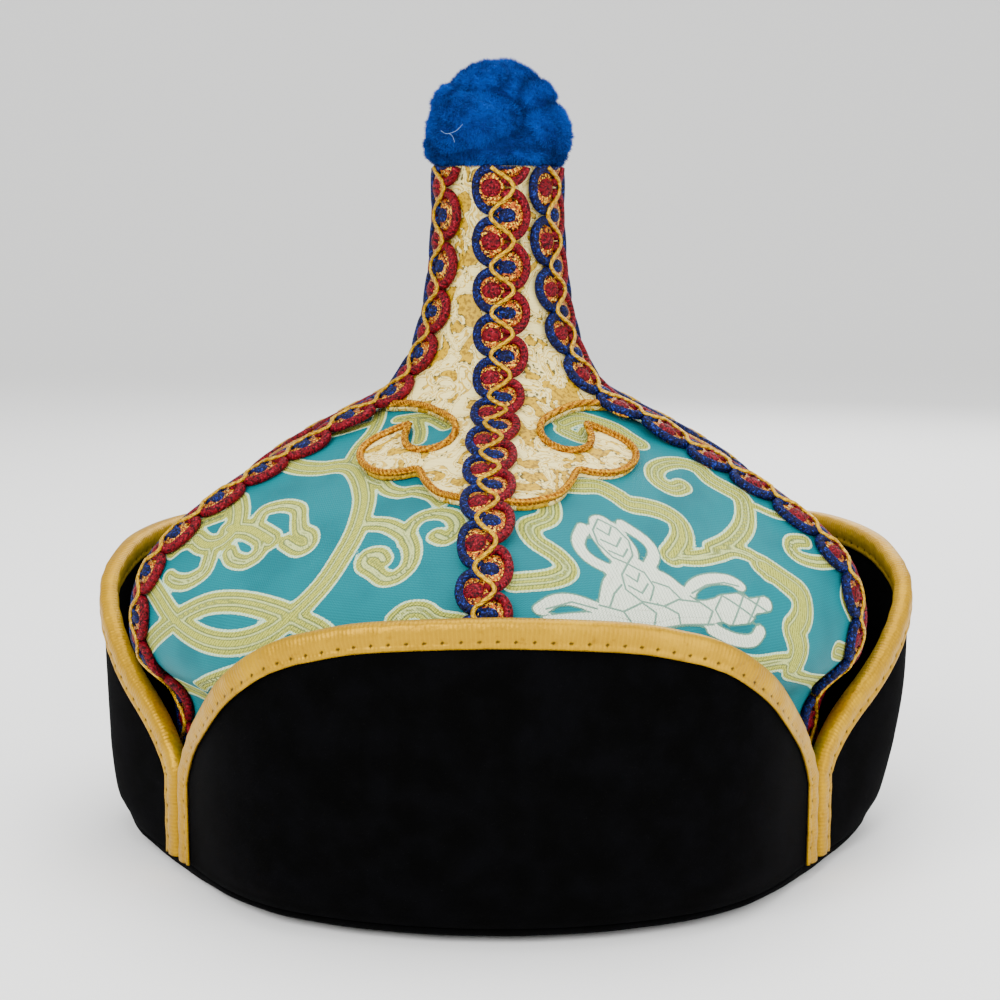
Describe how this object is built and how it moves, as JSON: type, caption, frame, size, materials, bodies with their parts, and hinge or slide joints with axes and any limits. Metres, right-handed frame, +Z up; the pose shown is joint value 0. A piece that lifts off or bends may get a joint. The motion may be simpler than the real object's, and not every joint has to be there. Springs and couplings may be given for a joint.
{
  "type": "pointed dance hat",
  "caption": "Pointed dance hat with a domed gored crown, slender spire, plush topknot, gimp braids over the seams and a turned-up velvet brim in bound flaps.",
  "frame": {"origin": "centre of the head opening, on the flat underside of the hem band", "axes": "+Z up from the hem to the topknot, -Y the front of the hat, +X the wearer's left"},
  "size_m": [0.2268, 0.2173, 0.2128],
  "materials": {
    "crown_brocade": "teal satin-ground brocade with olive vines and pale mint outlines",
    "spire_brocade": "cream and gold brocade, soft sheen",
    "cord": "twisted orange-gold cord",
    "braid": "red and navy gimp braid with gold tinsel and a gold zigzag cord",
    "velvet": "black cotton velvet",
    "binding": "gold satin bias binding with machine stitching",
    "plush": "royal blue plush"
  },
  "bodies": {
    "root": {"crown": "crown_brocade", "spire": "spire_brocade", "cloud_cord_1": "cord", "cloud_cord_2": "cord", "cloud_cord_3": "cord", "cloud_cord_4": "cord", "cloud_cord_5": "cord", "cloud_cord_6": "cord", "braid_1": "braid", "braid_2": "braid", "braid_3": "braid", "braid_4": "braid", "braid_5": "braid", "braid_6": "braid", "brim_flap_front": "velvet", "brim_flap_left": "velvet", "brim_flap_right": "velvet", "flap_binding_front": "binding", "flap_binding_left": "binding", "flap_binding_right": "binding", "hem_band": "velvet", "topknot": "plush"}
  },
  "joints": []
}
